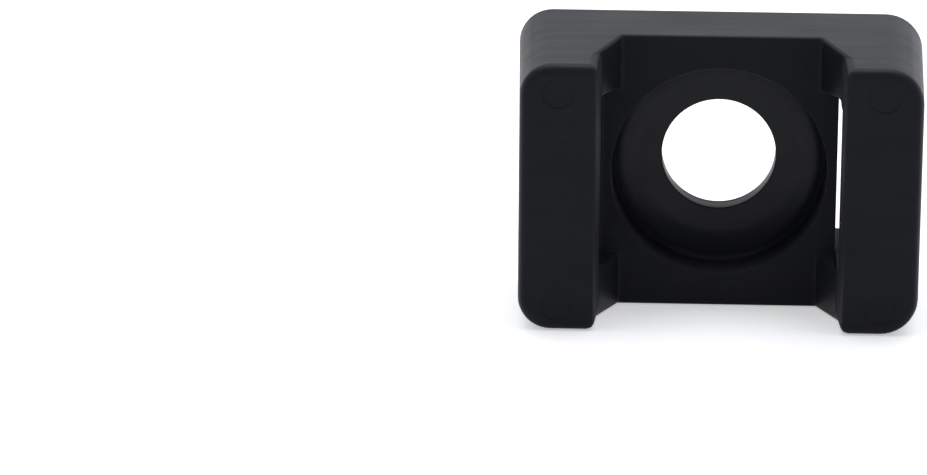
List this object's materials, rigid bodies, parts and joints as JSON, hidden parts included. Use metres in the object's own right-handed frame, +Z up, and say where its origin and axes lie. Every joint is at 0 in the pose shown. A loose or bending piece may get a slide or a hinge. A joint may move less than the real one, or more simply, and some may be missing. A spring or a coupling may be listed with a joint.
{
  "type": "cable tie mount",
  "caption": "Black saddle-type cable tie mount: a drafted block with a raised pad at each end, a strap passage under each pad and a recessed screw hole in the middle.",
  "frame": {"origin": "middle of the underside of the part's box, with the part standing on one long side: the point of the floor halfway along the length and halfway between the base and the tops of the pads", "axes": "+X along the length, from pad to pad; +Y from the tops of the pads towards the base, which is the face that lies against the panel; +Z up, across the width of the base"},
  "size_m": [0.0224, 0.0094, 0.0161],
  "materials": {
    "moulded_plastic": "black, finely eroded satin with smoother shut-off faces"
  },
  "bodies": {
    "root": {"mount": "moulded_plastic"}
  },
  "joints": []
}
